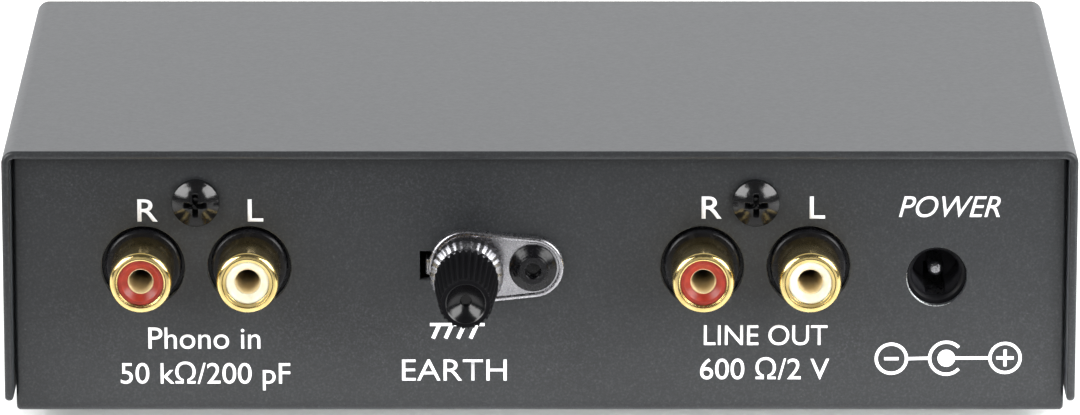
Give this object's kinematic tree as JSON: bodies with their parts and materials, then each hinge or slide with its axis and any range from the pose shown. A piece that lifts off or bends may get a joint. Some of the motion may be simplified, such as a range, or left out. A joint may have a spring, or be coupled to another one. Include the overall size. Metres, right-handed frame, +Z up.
{
  "type": "phono preamp",
  "caption": "Small dark grey folded-steel phono preamp with gold input and output phono jacks, a knurled ground terminal and a barrel power jack.",
  "frame": {"origin": "middle of the object's box, on the surface that its feet stand on", "axes": "+Z up; -Y is the way the connector panel faces; +X runs from the input jacks to the power jack"},
  "size_m": [0.1446, 0.1012, 0.0382],
  "materials": {
    "case_paint": "matte fine-textured dark grey powder coat",
    "black_screws": "gloss black",
    "foot_rubber": "matte",
    "jack_plastic": "gloss black moulded plastic",
    "gold_plate": "polished gold plate",
    "red_insulator": "satin moulded plastic",
    "white_insulator": "satin moulded plastic",
    "tinned_metal": "bright tin plate",
    "nickel_plate": "bright nickel plate",
    "brass": "turned brass",
    "thumb_nut_plastic": "satin black moulded plastic",
    "board_laminate": "green solder mask",
    "component_black": "matte epoxy",
    "capacitor_sleeve": "printed-free shrink sleeve",
    "film_capacitor_red": "satin box",
    "resistor_blue": "lacquer",
    "led_lens": "clear tinted lens"
  },
  "bodies": {
    "case": {"base_pan": "case_paint", "top_cover": "case_paint", "cover_screws": "black_screws", "foot_1": "foot_rubber", "foot_2": "foot_rubber", "foot_3": "foot_rubber", "foot_4": "foot_rubber", "board_standoffs": "brass", "circuit_board": "board_laminate", "board_screws": "tinned_metal", "input_jack_housing": "jack_plastic", "output_jack_housing": "jack_plastic", "jack_screws": "black_screws", "input_right_shell": "gold_plate", "input_left_shell": "gold_plate", "output_right_shell": "gold_plate", "output_left_shell": "gold_plate", "input_right_insulator": "red_insulator", "input_left_insulator": "white_insulator", "output_right_insulator": "red_insulator", "output_left_insulator": "white_insulator", "input_right_contact": "gold_plate", "input_left_contact": "gold_plate", "output_right_contact": "gold_plate", "output_left_contact": "gold_plate", "dc_jack_housing": "jack_plastic", "dc_jack_pin": "tinned_metal", "dc_jack_spring": "tinned_metal", "ground_plate": "nickel_plate", "ground_stud": "nickel_plate", "ground_lock_nut": "nickel_plate", "ground_rivet": "black_screws", "ground_link": "tinned_metal", "opamp_sockets": "component_black", "op_amps": "component_black", "voltage_regulator": "component_black", "rectifier_diode": "component_black", "supply_capacitors": "capacitor_sleeve", "coupling_capacitors": "capacitor_sleeve", "film_capacitors": "film_capacitor_red", "resistors": "resistor_blue", "power_led": "led_lens", "led_spacer": "component_black"},
    "clamp_collar": {"clamp_collar": "nickel_plate"},
    "thumb_nut": {"nut_insert": "brass", "thumb_nut": "thumb_nut_plastic"}
  },
  "joints": [
    {"name": "collar_travel", "type": "slide", "parent": "case", "child": "clamp_collar", "axis": [0, -1, 0], "range_m": [-0.0021, 0.0035]},
    {"name": "nut_turn", "type": "hinge", "parent": "clamp_collar", "child": "thumb_nut", "pos_m": [-0.0096, -0.0417, 0.0222], "axis": [0, -1, 0], "range_deg": [-1080, 1800]}
  ],
  "couplings": [
    {"joint": "nut_turn", "follows": "collar_travel", "rad_per_m": 8975.9}
  ]
}
